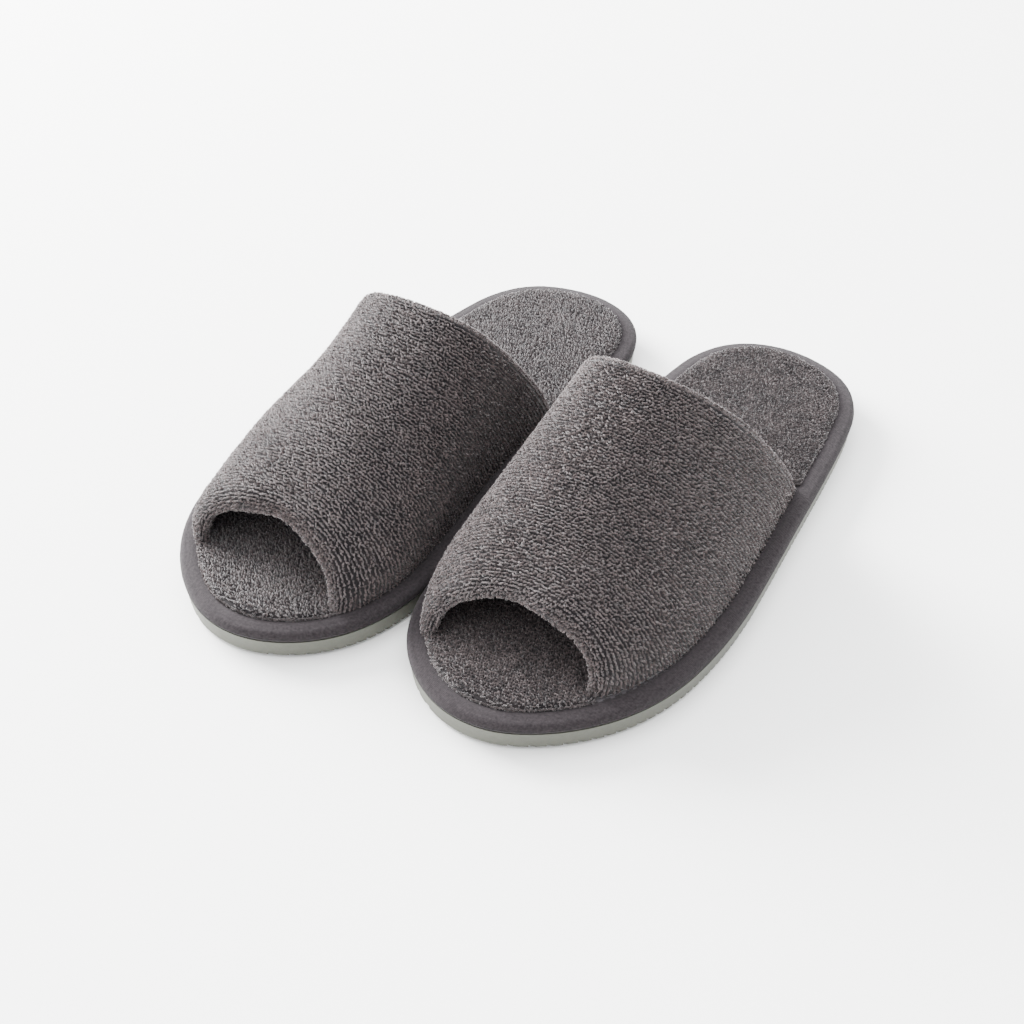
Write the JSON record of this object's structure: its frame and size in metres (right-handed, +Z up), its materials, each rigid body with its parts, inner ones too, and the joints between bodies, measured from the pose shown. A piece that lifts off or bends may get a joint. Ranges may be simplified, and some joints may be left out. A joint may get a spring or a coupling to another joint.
{
  "type": "spa slippers",
  "caption": "Pair of open-toe terry cloth slippers with a padded vamp, a cloth-bound rim and a grooved light EVA sole.",
  "frame": {"origin": "on the floor, in the middle of the pair's outer box", "axes": "+Z up, toes towards -Y, the wearer's left slipper at +X"},
  "size_m": [0.234, 0.2911, 0.0926],
  "materials": {
    "outsole_eva": "satin moulded foam",
    "midsole_eva": "matte foam",
    "filler_board": "matte fibreboard",
    "binding_cloth": "fine plain weave",
    "terry_cloth": "looped cotton terry",
    "soft_sponge": "open-cell foam",
    "thread": "spun polyester"
  },
  "bodies": {
    "right_slipper": {"right_outsole": "outsole_eva", "right_insole_board": "filler_board", "right_midsole": "midsole_eva", "right_binding": "binding_cloth", "right_rim_stitching": "thread", "right_footbed_foam": "soft_sponge", "right_footbed_cover": "terry_cloth", "right_vamp_outer": "terry_cloth", "right_vamp_sponge": "soft_sponge", "right_vamp_lining": "terry_cloth"},
    "left_slipper": {"left_outsole": "outsole_eva", "left_insole_board": "filler_board", "left_midsole": "midsole_eva", "left_binding": "binding_cloth", "left_rim_stitching": "thread", "left_footbed_foam": "soft_sponge", "left_footbed_cover": "terry_cloth", "left_vamp_outer": "terry_cloth", "left_vamp_sponge": "soft_sponge", "left_vamp_lining": "terry_cloth"}
  },
  "joints": [
    {"name": "left_slipper_lift", "type": "slide", "parent": "right_slipper", "child": "left_slipper", "axis": [0, 0, 1], "range_m": [0, 0.12]}
  ]
}
